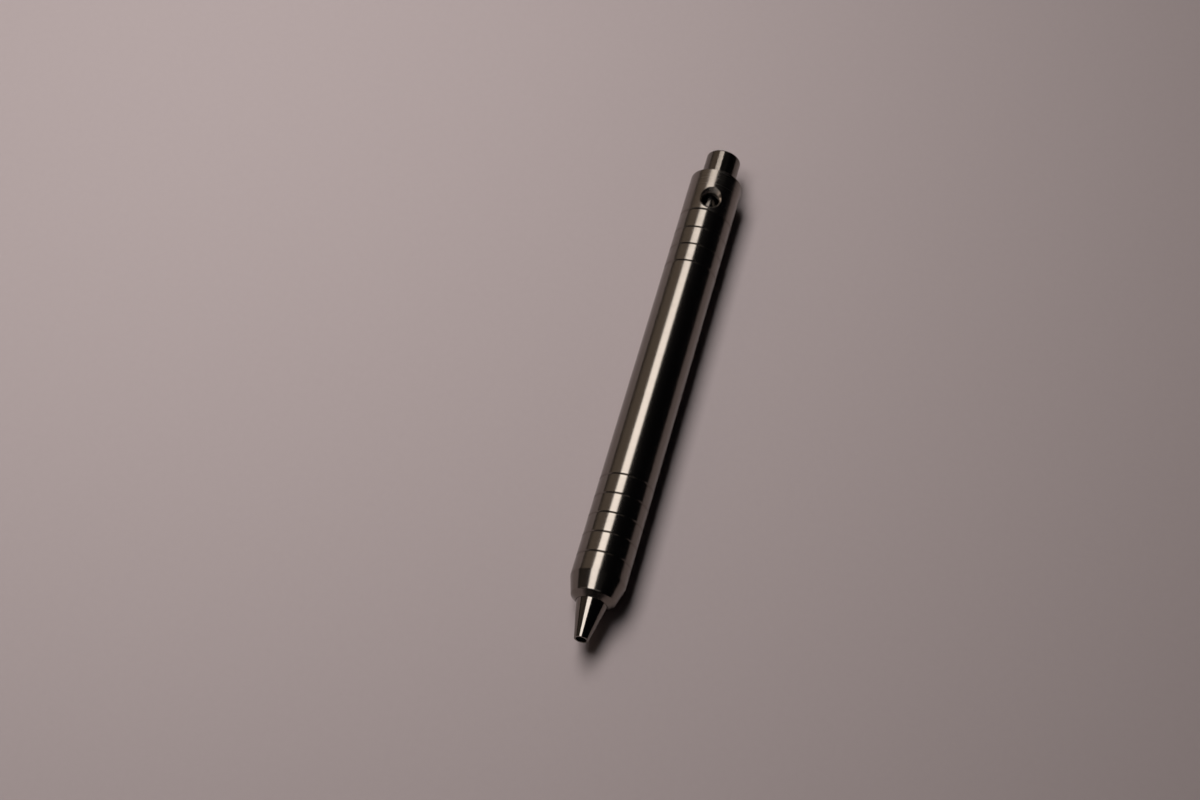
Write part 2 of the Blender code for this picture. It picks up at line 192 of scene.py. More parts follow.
def addNode(tree, kind, values=None, **settings):
    node = tree.nodes.new(kind)
    for key, value in settings.items():
        setattr(node, key, value)
    for key, value in (values or {}).items():
        node.inputs[key].default_value = value
    return node


def startFinish(name):
    finish = bpy.data.materials.new(name)
    finish.use_nodes = True
    tree = finish.node_tree
    return finish, tree, tree.nodes["Principled BSDF"]


def penCoordinates(tree):  # object coordinates from the pen's axis
    coords = addNode(tree, "ShaderNodeTexCoord")
    centred = addNode(tree, "ShaderNodeMapping", {"Location": (0, 0, -axisHeight)})
    tree.links.new(coords.outputs["Object"], centred.inputs["Vector"])
    return centred.outputs["Vector"]


def axisReach(tree, vector):  # distance from the pen's axis
    flat = addNode(tree, "ShaderNodeVectorMath", {1: (0, 1, 1)}, operation="MULTIPLY")
    reach = addNode(tree, "ShaderNodeVectorMath", operation="LENGTH")
    tree.links.new(vector, flat.inputs[0])
    tree.links.new(flat.outputs["Vector"], reach.inputs[0])
    return reach.outputs["Value"]


def alongPen(tree, vector):  # place along the pen, from its middle
    split = addNode(tree, "ShaderNodeSeparateXYZ")
    tree.links.new(vector, split.inputs["Vector"])
    return split.outputs["X"]


def turningPlace(tree, vector):  # place along the pen plus radius, so that end faces get rings too
    return addUp(tree, alongPen(tree, vector), axisReach(tree, vector))


def spread(tree, value, low, high):  # a 0 to 1 value brought to low to high
    ranged = addNode(tree, "ShaderNodeMapRange", {"To Min": low, "To Max": high})
    tree.links.new(value, ranged.inputs["Value"])
    return ranged.outputs["Result"]


def addUp(tree, first, second):
    total = addNode(tree, "ShaderNodeMath", operation="ADD")
    tree.links.new(first, total.inputs[0])
    tree.links.new(second, total.inputs[1])
    return total.outputs["Value"]


def ramp(tree, value, span, least=0.0):  # from least up to 1 along a span
    ranged = addNode(
        tree, "ShaderNodeMapRange", {"From Min": span[0], "From Max": span[1], "To Min": least},
    )
    tree.links.new(value, ranged.inputs["Value"])
    return ranged.outputs["Result"]


def times(tree, *shares):
    total = shares[0]
    for share in shares[1:]:
        product = addNode(tree, "ShaderNodeMath", operation="MULTIPLY")
        tree.links.new(total, product.inputs[0])
        tree.links.new(share, product.inputs[1])
        total = product.outputs["Value"]
    return total


def retone(tree, colour, share, tone):  # colour times a tone, where the share is 1
    changed = addNode(tree, "ShaderNodeMix", data_type="RGBA", blend_type="MULTIPLY")
    changed.inputs["B"].default_value = (tone, tone, tone, 1)
    tree.links.new(share, changed.inputs["Factor"])
    tree.links.new(colour, changed.inputs["A"])
    return changed.outputs["Result"]


def below(tree, value, edge, blend):  # 1 where a length is under an edge
    return ramp(tree, value, (edge * mm, (edge - blend) * mm))


def paintedStemShade(tree, vector, colour, look):  # painted shade: the stem, which sits inside the cap, is darkened from the nose up to the stem's end
    edge = spot(look["stemEnd"]).x
    share = ramp(tree, alongPen(tree, vector), (edge, edge - look["toneBlend"] * mm))
    return retone(tree, colour, share, look["stemShadeTone"])


def paintedHoleShadeAndHighlight(tree, vector, colour, look):  # painted shade on the bore's inner walls, under a painted highlight on the countersink
    reach = axisReach(tree, vector)
    middle = spot(look["sinkPlace"]) + Vector((0, 0, look["skin"] * mm - axisHeight))
    apart = addNode(tree, "ShaderNodeVectorMath", {1: middle}, operation="DISTANCE")
    tree.links.new(vector, apart.inputs[0])
    edge, blend = look["boreEdge"], look["toneBlend"]
    # painted highlight on the countersink and the hole's upper walls
    sink = times(
        tree, below(tree, apart.outputs["Value"], look["sinkReach"], blend),
        below(tree, reach, look["skin"], look["skinBlend"]),
        ramp(tree, reach, ((edge - blend) * mm, edge * mm)),
    )
    colour = retone(tree, colour, sink, look["sinkHighlightTone"])
    # painted shade on every surface nearer the axis than the bore edge
    return retone(tree, colour, below(tree, reach, edge, blend), look["boreShadeTone"])


def addNoise(tree, size, values, **settings):
    return addNode(tree, "ShaderNodeTexNoise", {"Scale": 1 / (size * mm), **values}, **settings)


def twoTones(tree, look, share):
    tones = addNode(tree, "ShaderNodeMix", data_type="RGBA")
    tones.inputs["A"].default_value = (*look["darkTone"], 1)
    tones.inputs["B"].default_value = (*look["paleTone"], 1)
    tree.links.new(share, tones.inputs["Factor"])
    return tones.outputs["Result"]


def addBump(tree, shader, height, look):
    bump = addNode(tree, "ShaderNodeBump", {"Strength": look["bump"], "Distance": look["bumpDepth"] * mm})
    tree.links.new(height, bump.inputs["Height"])
    tree.links.new(bump.outputs["Normal"], shader.inputs["Normal"])


turningSet = {
    "lineNoise": {"Detail": 4.0, "Roughness": 0.65}, "bandNoise": {"Detail": 3.0, "Roughness": 0.55},
    "smearNoise": {"Detail": 5.0, "Roughness": 0.6, "Distortion": 0.4},
    "lineTone": (-0.25, 0.75), "bandTone": (0.0, 0.5), "grainTurn": 0.25,
}
grainSet = {"noise": {"Detail": 4.0, "Roughness": 0.6}, "roughSpread": 0.06}


def turnedFinish(name, look):  # metal with the fine lines of a lathe
    finish, tree, shader = startFinish(name)
    vector = penCoordinates(tree)
    place = turningPlace(tree, vector)

    lines = addNoise(tree, look["linePitch"], turningSet["lineNoise"], noise_dimensions="1D")
    bands = addNoise(tree, look["bandPitch"], turningSet["bandNoise"], noise_dimensions="1D")
    smears = addNoise(tree, look["smearSize"], turningSet["smearNoise"])
    tree.links.new(place, lines.inputs["W"])
    tree.links.new(place, bands.inputs["W"])
    tree.links.new(vector, smears.inputs["Vector"])

    lineShare = spread(tree, lines.outputs["Fac"], *turningSet["lineTone"])
    bandShare = spread(tree, bands.outputs["Fac"], *turningSet["bandTone"])
    colour = twoTones(tree, look, addUp(tree, lineShare, bandShare))
    # painted shade on the plunger's stem, and painted shade and highlight in the cap's hole
    if "stemEnd" in look:
        colour = paintedStemShade(tree, vector, colour, look)
    if "boreEdge" in look:
        colour = paintedHoleShadeAndHighlight(tree, vector, colour, look)
    tree.links.new(colour, shader.inputs["Base Color"])

    lineRough = spread(tree, lines.outputs["Fac"], -look["lineRough"], look["lineRough"])
    smearRough = spread(
        tree, smears.outputs["Fac"], look["roughness"] - look["smearRough"],
        look["roughness"] + look["smearRough"],
    )
    tree.links.new(addUp(tree, lineRough, smearRough), shader.inputs["Roughness"])

    addBump(tree, shader, lines.outputs["Fac"], look)

    tangent = addNode(tree, "ShaderNodeTangent", direction_type="RADIAL", axis="X")
    tree.links.new(tangent.outputs["Tangent"], shader.inputs["Tangent"])
    shader.inputs["Anisotropic"].default_value = look["anisotropy"]
    shader.inputs["Anisotropic Rotation"].default_value = turningSet["grainTurn"]
    shader.inputs["Metallic"].default_value = 1.0
    return finish


def grainedFinish(name, look):  # moulded or drawn stuff with an even grain, or one along its stretch
    finish, tree, shader = startFinish(name)
    vector = penCoordinates(tree)
    stretched = addNode(tree, "ShaderNodeMapping", {"Scale": look["stretch"]})
    tree.links.new(vector, stretched.inputs["Vector"])
    grain = addNoise(tree, look["grain"], grainSet["noise"])
    tree.links.new(stretched.outputs["Vector"], grain.inputs["Vector"])
    tree.links.new(twoTones(tree, look, grain.outputs["Fac"]), shader.inputs["Base Color"])
    least, most = look["roughness"] - grainSet["roughSpread"], look["roughness"] + grainSet["roughSpread"]
    tree.links.new(spread(tree, grain.outputs["Fac"], least, most), shader.inputs["Roughness"])
    addBump(tree, shader, grain.outputs["Fac"], look)
    shader.inputs["Metallic"].default_value = look["metallic"]
    return finish


# barrel

barrelSet = {
    "radius": 6.35, "tipHole": 3.6, "frontEdge": 5.1, "frontTrim": 0.12, "shoulder": 1.17, "taper": 4.35,
    "grooveWidth": 0.5, "grooveDepth": 0.27, "groovePitch": 5.0,
    "gripGrooves": 5, "gripStart": 9.9, "rearGrooves": 3, "rearEnd": 5.4,
    "tipSeat": 1.7, "bore": 4.15, "socket": 5.0, "socketDepth": 8.5,
    "seamEdge": 0.21, "edge": 0.12, "steps": 160,
    "lipRound": 0.05, "shoulderRound": 0.14, "taperRound": 0.1, "socketRound": 0.1,
}
barrelLook = {
    "darkTone": (0.171, 0.151, 0.134), "paleTone": (0.222, 0.197, 0.176),
    "linePitch": 0.16, "bandPitch": 3.0, "smearSize": 9.0,
    "roughness": 0.2, "lineRough": 0.03, "smearRough": 0.025,
    "bump": 0.12, "bumpDepth": 0.006, "anisotropy": 0.6,
}


def makeBarrel(made, look):
    front, rear = spanOf("barrel")
    outer = made["radius"]
    lip = front - made["frontTrim"]
    edge = lip + made["shoulder"]
    outline = [
        (lip, made["tipHole"], made["lipRound"]),
        (edge, made["frontEdge"], made["shoulderRound"]),
        (edge + made["taper"], outer, made["taperRound"]),
    ]
    grip = [front + made["gripStart"] + made["groovePitch"] * k for k in range(made["gripGrooves"])]
    rearMost = rear - made["rearEnd"]
    back = [rearMost - made["groovePitch"] * k for k in reversed(range(made["rearGrooves"]))]
    half = made["grooveWidth"] / 2
    floor = outer - made["grooveDepth"]
    for centre in grip + back:
        outline += [(centre - half, outer), (centre, floor), (centre + half, outer)]
    socketFront = rear - made["socketDepth"]
    seat = front + made["tipSeat"]
    outline += [
        (rear - made["seamEdge"], outer), (rear, outer - made["seamEdge"]),
        (rear, made["socket"], made["edge"]),
        (socketFront, made["socket"]), (socketFront, made["bore"], made["socketRound"]),
        (seat, made["bore"]), (seat, made["tipHole"], made["lipRound"]),
    ]
    piece = meshObject("barrelTube", turnedForm(outline, made["steps"]))
    finishPiece(piece, "body", "barrel", turnedFinish("turnedBarrelMetal", look))
    shadeTurned(piece)


makeBarrel(barrelSet, barrelLook)

# nose tip

noseSet = {
    "endRadius": 1.65, "guide": 1.25, "baseRadius": 3.56, "length": 8.9, "flange": 4.05,
    "flangeFront": 10.9, "passage": 3.1, "springBore": 2.4, "springSeat": 6.2059, "steps": 144,
    "fineRound": 0.04, "rimRound": 0.05, "flangeRound": 0.1,
}
noseLook = {
    "darkTone": (0.183, 0.162, 0.146), "paleTone": (0.222, 0.199, 0.181),
    "linePitch": 0.09, "bandPitch": 2.0, "smearSize": 6.0,
    "roughness": 0.12, "lineRough": 0.02, "smearRough": 0.02,
    "bump": 0.06, "bumpDepth": 0.004, "anisotropy": 0.35,
}


def makeNoseTip(made, look):
    front, rear = spanOf("nose_tip")
    leadIn = made["passage"] - made["springBore"]
    fine, rim, soft = made["fineRound"], made["rimRound"], made["flangeRound"]
    outline = [
        (front, made["guide"], fine), (front, made["endRadius"], rim),
        (made["length"], made["baseRadius"], fine), (made["flangeFront"], made["baseRadius"], rim),
        (made["flangeFront"], made["flange"], soft), (rear, made["flange"], soft),
        (rear, made["passage"], soft), (made["flangeFront"] + leadIn, made["passage"]),
        (made["flangeFront"], made["springBore"]), (made["springSeat"], made["springBore"]),
        (made["springSeat"], made["guide"], rim),
    ]
    piece = meshObject("noseCone", turnedForm(outline, made["steps"]))
    finishPiece(piece, "body", "nose_tip", turnedFinish("polishedNoseMetal", look))
    shadeTurned(piece)


makeNoseTip(noseSet, noseLook)

# rear cap

capSet = {
    "radius": 6.35, "front": 114.13, "bore": 4.3, "boreStep": 113.4, "stemBore": 3.6, "tail": 4.9,
    "ringPlace": 107.8, "ringHalf": 0.6, "ringFloor": 4.3, "edge": 0.12, "seamEdge": 0.21,
    "hole": 2.1, "holePlace": 117.8, "countersink": 1.05, "sinkDepth": 1.05, "holeSteps": 96,
    "pinPlace": 110.0, "pinHole": 0.85, "pinSteps": 48, "keepOut": 1.05, "steps": 160,
    "boreRound": 0.1, "tailRound": 0.15, "ringEdge": 0.06, "ringRound": 0.08, "holeRound": 0.08,
}
capLook = {
    "darkTone": (0.175, 0.153, 0.135), "paleTone": (0.238, 0.21, 0.187),
    "linePitch": 0.24, "bandPitch": 2.2, "smearSize": 5.0,
    "roughness": 0.25, "lineRough": 0.05, "smearRough": 0.03,
    "bump": 0.2, "bumpDepth": 0.008, "anisotropy": 0.65,
    # painted shade inside the cap's bore and hole, and a painted highlight on the countersink
    "boreEdge": 5.3, "boreShadeTone": 0.22, "toneBlend": 0.3,
    "sinkPlace": capSet["holePlace"], "sinkReach": 3.6, "sinkHighlightTone": 2.0, "skin": 6.34, "skinBlend": 0.06,
}


def makeRearCap(made, look):
    front, rear = spanOf("rear_cap")
    outer, seam = made["radius"], made["front"]
    ringFront, ringRear = made["ringPlace"] - made["ringHalf"], made["ringPlace"] + made["ringHalf"]
    ringEdge, ringRound, boreRound = made["ringEdge"], made["ringRound"], made["boreRound"]
    outline = [
        (front, made["stemBore"], boreRound), (front, made["tail"], made["tailRound"]),
        (ringFront, made["tail"], ringEdge), (ringFront, made["ringFloor"], ringRound),
        (ringRear, made["ringFloor"], ringRound), (ringRear, made["tail"], ringEdge),
        (seam, made["tail"]), (seam, outer - made["seamEdge"]), (seam + made["seamEdge"], outer),
        (rear, outer, made["edge"]), (rear, made["bore"], boreRound),
        (made["boreStep"], made["bore"]), (made["boreStep"], made["stemBore"], boreRound),
    ]
    piece = meshObject("capSleeve", turnedForm(outline, made["steps"]))
    sink, sinkDepth = made["countersink"], made["sinkDepth"]
    above = outer + sinkDepth  # the countersink's cone runs on above the skin by its own depth
    hole = [
        (0, above), (made["hole"] + 2 * sink, above),
        (made["hole"], outer - sinkDepth, made["holeRound"]), (made["hole"], 0), (0, 0),
    ]
    cutAway(piece, uprightForm(hole, made["holePlace"], made["holeSteps"]))
    pin = [(0, 0), (made["pinHole"], 0), (made["pinHole"], -outer), (0, -outer)]
    cutAway(piece, uprightForm(pin, made["pinPlace"], made["pinSteps"]))
    finishPiece(piece, "body", "rear_cap", turnedFinish("turnedCapMetal", look))
    holeReach, pinReach = made["hole"] + made["keepOut"] * sink, made["pinHole"] * made["keepOut"]
    shadeTurned(piece, keepOut=[(made["holePlace"], holeReach), (made["pinPlace"], pinReach)])


makeRearCap(capSet, capLook)

# plunger, with the pocket for the latch

plungerSet = {
    "head": 4.2, "headFront": 121.1, "topRound": 0.4, "stem": 3.5, "cup": 3.0, "cupFloor": 100.0,
    "clipFront": 104.9, "clipRear": 105.9, "clipFloor": 2.95,
    "latchPlace": 122.8, "pocket": 2.7, "pocketStop": -0.767, "springPocket": 2.0, "pocketFloor": -3.0,
    "pocketOver": 1.0, "pocketSteps": 96, "keepOut": 1.02,
    "keyFront": 108.95, "keyRear": 116.05, "keyWidth": 1.7, "keyFloor": 2.6,
    "keyRound": 0.45, "keyRoundSteps": 6, "steps": 144,
    "headRound": 0.06, "clipRound": 0.05, "stemRound": 0.15, "cupRound": 0.1, "cupFloorRound": 0.2,
    "pocketRound": 0.1,
}
plungerLook = {
    "darkTone": (0.133, 0.116, 0.103), "paleTone": (0.181, 0.16, 0.142),
    "linePitch": 0.2, "bandPitch": 2.0, "smearSize": 4.0,
    "roughness": 0.19, "lineRough": 0.03, "smearRough": 0.03,
    "bump": 0.2, "bumpDepth": 0.008, "anisotropy": 0.93,
    # painted shade on the stem inside the cap, up to the stem's end
    "stemEnd": plungerSet["headFront"], "stemShadeTone": 0.5, "toneBlend": 0.3,
}


def makePlunger(made, look):
    front, rear = spanOf("plunger")
    head, stem = made["head"], made["stem"]
    outline = [
        (rear, 0), (rear, head, made["topRound"]),
        (made["headFront"], head, made["headRound"]), (made["headFront"], stem),
        (made["clipRear"], stem, made["clipRound"]), (made["clipRear"], made["clipFloor"]),
        (made["clipFront"], made["clipFloor"]), (made["clipFront"], stem, made["clipRound"]),
        (front, stem, made["stemRound"]), (front, made["cup"], made["cupRound"]),
        (made["cupFloor"], made["cup"], made["cupFloorRound"]), (made["cupFloor"], 0),
    ]
    piece = meshObject("pushPlunger", turnedForm(outline, made["steps"], closed=False))
    above, rounding = head + made["pocketOver"], made["pocketRound"]
    pocket = [
        (0, above), (made["pocket"], above), (made["pocket"], made["pocketStop"]),
        (made["springPocket"], made["pocketStop"], rounding),
        (made["springPocket"], made["pocketFloor"], rounding), (0, made["pocketFloor"]),
    ]
    cutAway(piece, uprightForm(pocket, made["latchPlace"], made["pocketSteps"]))
    width, length = made["keyWidth"], made["keyRear"] - made["keyFront"]
    middle = (made["keyFront"] + made["keyRear"]) / 2
    slot = blockForm(spot(middle, up=-made["keyFloor"] - stem / 2), (length, width, stem))
    corners = [edge for edge in slot.edges if (edge.verts[0].co - edge.verts[1].co).xy.length < mergeGap]
    bmesh.ops.bevel(
        slot, geom=corners, offset=width * made["keyRound"] * mm, segments=made["keyRoundSteps"],
        profile=0.5, affect="EDGES", material=-1,
    )
    cutAway(piece, slot)
    finishPiece(piece, "plunger", "plunger", turnedFinish("turnedPlungerMetal", look))
    shadeTurned(piece, keepOut=[(made["latchPlace"], made["pocket"] * made["keepOut"])])


makePlunger(plungerSet, plungerLook)

# latch button

latchSet = {
    "place": plungerSet["latchPlace"], "radius": 1.9, "dome": 3.6, "domeSteps": 10,
    "flange": 2.5, "flangeThick": 1.0, "steps": 96,
    "domeRound": 0.12, "neckRound": 0.05, "flangeRound": 0.08,
}
latchLook = {
    "darkTone": (0.085, 0.08, 0.077), "paleTone": (0.14, 0.132, 0.126),
    "linePitch": 0.12, "bandPitch": 1.0, "smearSize": 3.0,
    "roughness": 0.24, "lineRough": 0.04, "smearRough": 0.03,
    "bump": 0.12, "bumpDepth": 0.005, "anisotropy": 0.3,
}


def makeLatchButton(made, look):
    low, high = heightsOf("latch_button")
    step = math.asin(made["radius"] / made["dome"]) / made["domeSteps"]
    outline = [
        (made["dome"] * math.sin(step * k), high - made["dome"] * (1 - math.cos(step * k)))
        for k in range(made["domeSteps"] + 1)
    ]
    top = low + made["flangeThick"]
    outline[-1] += (made["domeRound"],)
    outline += [
        (made["radius"], top, made["neckRound"]), (made["flange"], top, made["flangeRound"]),
        (made["flange"], low, made["flangeRound"]), (0, low),
    ]
    piece = meshObject("latchDome", uprightForm(outline, made["place"], made["steps"]))
    finishPiece(piece, "latch", "latch_button", turnedFinish("latchMetal", look))


makeLatchButton(latchSet, latchLook)

# latch spring

latchSpringSet = {
    "place": plungerSet["latchPlace"], "floor": plungerSet["pocketFloor"], "coil": 1.75, "wire": 0.15,
    "turns": 2.75, "endGap": 0.25, "turnSteps": 40, "travel": 0.6,
}
wireSet = {"sides": 14, "sharp": 50}  # both springs' wire
wireLook = {
    "darkTone": (0.36, 0.36, 0.36), "paleTone": (0.52, 0.52, 0.51), "grain": 0.08, "stretch": (1, 1, 1),
    "roughness": 0.26, "bump": 0.08, "bumpDepth": 0.003, "metallic": 1.0,
}


def coilForm(centre, axis, aside, radius, wire, runs, turnSteps):
    # runs are (turns, pitch) one after the other; the wire's section is spun and moved on at each step
    form = bmesh.new()
    axis, aside = Vector(axis), Vector(aside)
    facing = Matrix((axis, aside, axis.cross(aside))).transposed().to_4x4()
    bmesh.ops.create_circle(
        form, cap_ends=False, segments=wireSet["sides"], radius=wire * mm,
        matrix=Matrix.Translation(centre + aside * radius * mm) @ facing,
    )
    last = form.verts[:] + form.edges[:]
    for turns, pitch in runs:
        made = bmesh.ops.spin(
            form, geom=last, cent=centre, axis=axis, dvec=axis * pitch * mm / turnSteps,
            angle=2 * math.pi * turns, steps=round(turns * turnSteps), use_merge=False,
        )
        last = made["geom_last"]
    openEdges = [edge for edge in form.edges if len(edge.link_faces) == 1]
    bmesh.ops.holes_fill(form, edges=openEdges, sides=0)
    bmesh.ops.remove_doubles(form, verts=form.verts, dist=mergeGap)
    bmesh.ops.recalc_face_normals(form, faces=form.faces)
    return form


def makeLatchSpring(made, look):
    low = heightsOf("latch_button")[0]
    length = low - made["floor"] - 2 * made["endGap"]
    foot = spot(made["place"], up=made["floor"] + made["endGap"])
    runs = [(made["turns"], length / made["turns"])]
    form = coilForm(foot, (0, 0, 1), (1, 0, 0), made["coil"], made["wire"], runs, made["turnSteps"])
    piece = meshObject("latchCoil", form)
    finish = grainedFinish("latchWire", look)
    finishPiece(piece, "plunger", "latch_spring", finish, wireSet["sharp"])
    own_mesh(piece)


makeLatchSpring(latchSpringSet, wireLook)

# guide pin

pinSet = {"place": capSet["pinPlace"], "radius": 0.75, "edge": 0.12, "steps": 48}
pinLook = {
    "darkTone": (0.3, 0.3, 0.3), "paleTone": (0.42, 0.42, 0.42), "grain": 0.12, "stretch": (1, 1, 6),
    "roughness": 0.3, "bump": 0.1, "bumpDepth": 0.004, "metallic": 1.0,
}


def makePin(made, look):
    low, high = heightsOf("guide_pin")
    radius, edge = made["radius"], made["edge"]
    outline = [(0, high), (radius, high, edge), (radius, low, edge), (0, low)]
    piece = meshObject("guidePin", uprightForm(outline, made["place"], made["steps"]))
    finishPiece(piece, "body", "guide_pin", grainedFinish("groundPinMetal", look))


makePin(pinSet, pinLook)

# retaining clip

clipSet = {"inner": 3.05, "outer": 3.95, "mouth": 3.2, "mouthLength": 3.0, "edge": 0.1, "steps": 128}
clipLook = {
    "darkTone": (0.1, 0.1, 0.11), "paleTone": (0.2, 0.2, 0.21), "grain": 0.25, "stretch": (1, 1, 1),
    "roughness": 0.4, "bump": 0.15, "bumpDepth": 0.006, "metallic": 1.0,
}


def makeClip(made, look):
    front, rear = spanOf("retaining_clip")
    outline = [
        (rear, made["inner"], made["edge"]), (rear, made["outer"], made["edge"]),
        (front, made["outer"], made["edge"]), (front, made["inner"], made["edge"]),
    ]
    piece = meshObject("stemClip", turnedForm(outline, made["steps"]))
    mouth = (made["mouthLength"], made["mouth"], 2 * made["outer"])
    cutAway(piece, blockForm(spot((front + rear) / 2, up=made["outer"]), mouth))
    finishPiece(piece, "plunger", "retaining_clip", grainedFinish("springClipMetal", look))


makeClip(clipSet, clipLook)

# seal ring

sealSet = {"section": 0.3, "steps": 128, "sides": 24, "sharp": 80}
sealLook = {
    "darkTone": (0.008, 0.008, 0.008), "paleTone": (0.022, 0.022, 0.021),
    "grain": 0.1, "stretch": (1, 1, 1),
    "roughness": 0.62, "bump": 0.25, "bumpDepth": 0.01, "metallic": 0.0,
}


def makeSeal(made, look):
    front, rear = spanOf("cap_o_ring")
    middle = spot((front + rear) / 2, up=heightsOf("cap_o_ring")[1] - made["section"])
    form = bmesh.new()
    bmesh.ops.create_circle(
        form, cap_ends=False, segments=made["sides"], radius=made["section"] * mm,
        matrix=Matrix.Translation(middle) @ Matrix.Rotation(math.pi / 2, 4, "X"),
    )
    spinOutline(form, spot(0), (1, 0, 0), made["steps"])
    piece = meshObject("sealRing", form)
    finish = grainedFinish("sealRubber", look)
    finishPiece(piece, "body", "cap_o_ring", finish, made["sharp"])


makeSeal(sealSet, sealLook)

# return spring

springSet = {
    "seat": noseSet["springSeat"], "head": 17.4059, "coil": 2.0, "wire": 0.2,
    "turns": 8, "endTurns": 1.0, "endPitch": 0.45, "endGap": 0.3, "turnSteps": 40, "travel": 5.0,
}


def makeReturnSpring(made, look):
    length = made["head"] - made["seat"] - 2 * made["endGap"]
    openTurns = made["turns"] - 2 * made["endTurns"]
    pitch = (length - 2 * made["endTurns"] * made["endPitch"]) / openTurns
    ends = (made["endTurns"], made["endPitch"])
    runs = [ends, (openTurns, pitch), ends]
    foot = spot(made["seat"] + made["endGap"])
    form = coilForm(foot, (1, 0, 0), (0, 0, 1), made["coil"], made["wire"], runs, made["turnSteps"])
    piece = meshObject("returnCoil", form)
    finish = grainedFinish("springWire", look)
    finishPiece(piece, "body", "return_spring", finish, wireSet["sharp"])
    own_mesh(piece)


makeReturnSpring(springSet, wireLook)

# refill: its pieces share these sizes

refillSet = {"radius": 2.9, "bore": 2.6, "spigot": 2.5, "point": 1.1, "steps": 96}

# writing ball

ballSet = {"radius": 0.5, "smooth": 4, "sharp": 80}
ballLook = {
    "darkTone": (0.24, 0.24, 0.25), "paleTone": (0.34, 0.34, 0.35), "grain": 0.1, "stretch": (1, 1, 1),
    "roughness": 0.16, "bump": 0.03, "bumpDepth": 0.002, "metallic": 1.0,
}


def makeBall(made, look):
    low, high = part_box("writing_ball")
    form = bmesh.new()
    bmesh.ops.create_icosphere(
        form, subdivisions=made["smooth"], radius=made["radius"] * mm,
        matrix=Matrix.Translation((low + high) / 2),
    )
    piece = meshObject("writingBall", form)
    finish = grainedFinish("carbideBall", look)
    finishPiece(piece, "refill", "writing_ball", finish, made["sharp"])


makeBall(ballSet, ballLook)

# refill point

pointSet = {
    "face": 0.75, "cone": 1.8, "length": 4.2, "spigot": 0.7, "inkHole": 0.3,
    "socket": 0.6, "socketDepth": 0.8,
    "rimRound": 0.05, "coneRound": 0.15, "collarRound": 0.06, "spigotRound": 0.08,
}
pointLook = {
    "darkTone": (0.52, 0.49, 0.43), "paleTone": (0.66, 0.63, 0.56),
    "linePitch": 0.08, "bandPitch": 0.8, "smearSize": 2.0,
    "roughness": 0.22, "lineRough": 0.04, "smearRough": 0.03,
    "bump": 0.1, "bumpDepth": 0.004, "anisotropy": 0.4,
}


def makePoint(made, look):
    front, rear = spanOf("refill_point")
    radius = refillSet["point"]
    collar, socketFloor = front + made["length"], front + made["socketDepth"]
    outline = [
        (rear, made["inkHole"]), (rear, made["spigot"], made["spigotRound"]), (collar, made["spigot"]),
        (collar, radius, made["collarRound"]), (front + made["cone"], radius, made["coneRound"]),
        (front, made["face"], made["rimRound"]), (front, made["socket"]), (socketFloor, made["socket"]),
        (socketFloor, made["inkHole"]),
    ]
    piece = meshObject("refillPoint", turnedForm(outline, refillSet["steps"]))
    finishPiece(piece, "refill", "refill_point", turnedFinish("pointMetal", look))
    shadeTurned(piece)


makePoint(pointSet, pointLook)

# refill neck

neckSet = {
    "radius": 1.6, "hole": 0.8, "step": 11.5059, "head": springSet["head"], "seat": 2.2, "rear": 18.8059,
    "edge": 0.08, "seatRound": 0.06, "softRound": 0.12,
}
neckLook = {
    "darkTone": (0.56, 0.38, 0.14), "paleTone": (0.72, 0.52, 0.22),
    "linePitch": 0.1, "bandPitch": 1.2, "smearSize": 3.0,
    "roughness": 0.27, "lineRough": 0.05, "smearRough": 0.04,
    "bump": 0.12, "bumpDepth": 0.005, "anisotropy": 0.4,
}


def makeNeck(made, look):
    front, rear = spanOf("refill_neck")
    outer, spigot, point = refillSet["radius"], refillSet["spigot"], refillSet["point"]
    head, step, edge, soft = made["head"], made["step"], made["edge"], made["softRound"]
    cone = outer - made["seat"]
    outline = [
        (rear, made["hole"]), (rear, spigot, soft), (made["rear"], spigot),
        (made["rear"], outer, edge), (head + cone, outer, soft),
        (head, made["seat"], made["seatRound"]), (head, made["radius"]),
        (step, made["radius"], soft), (step, point),
        (front, point, edge), (front, made["hole"]),
    ]
    piece = meshObject("refillNeck", turnedForm(outline, refillSet["steps"]))
    finishPiece(piece, "refill", "refill_neck", turnedFinish("neckBrass", look))
    shadeTurned(piece)


makeNeck(neckSet, neckLook)

# refill tube

tubeSet = {"edge": 0.1, "boreEdge": 0.06}
tubeLook = {
    "darkTone": (0.46, 0.46, 0.45), "paleTone": (0.6, 0.6, 0.59), "grain": 0.3, "stretch": (0.06, 1, 1),
    "roughness": 0.28, "bump": 0.08, "bumpDepth": 0.005, "metallic": 1.0,
}


def makeTube(made, look):
    front, rear = spanOf("refill_tube")
    outer, bore = refillSet["radius"], refillSet["bore"]
    outline = [
        (rear, bore, made["boreEdge"]), (rear, outer, made["edge"]),
        (front, outer, made["edge"]), (front, bore, made["boreEdge"]),
    ]
    piece = meshObject("refillTube", turnedForm(outline, refillSet["steps"]))
    finishPiece(piece, "refill", "refill_tube", grainedFinish("drawnTubeMetal", look))
    shadeTurned(piece)


makeTube(tubeSet, tubeLook)

# ink

inkSet = {"edge": 0.3}
inkLook = {
    "darkTone": (0.004, 0.004, 0.006), "paleTone": (0.014, 0.014, 0.02),
    "grain": 1.2, "stretch": (0.3, 1, 1),
    "roughness": 0.22, "bump": 0.1, "bumpDepth": 0.02, "metallic": 0.0,
}


def makeInk(made, look):
    front, rear = spanOf("ink_column")
    radius = refillSet["spigot"]
    outline = [(rear, 0), (rear, radius, made["edge"]), (front, radius, made["edge"]), (front, 0)]
    piece = meshObject("inkColumn", turnedForm(outline, refillSet["steps"], closed=False))
    finishPiece(piece, "refill", "ink_column", grainedFinish("inkPaste", look))
    shadeTurned(piece)


makeInk(inkSet, inkLook)

# refill plug

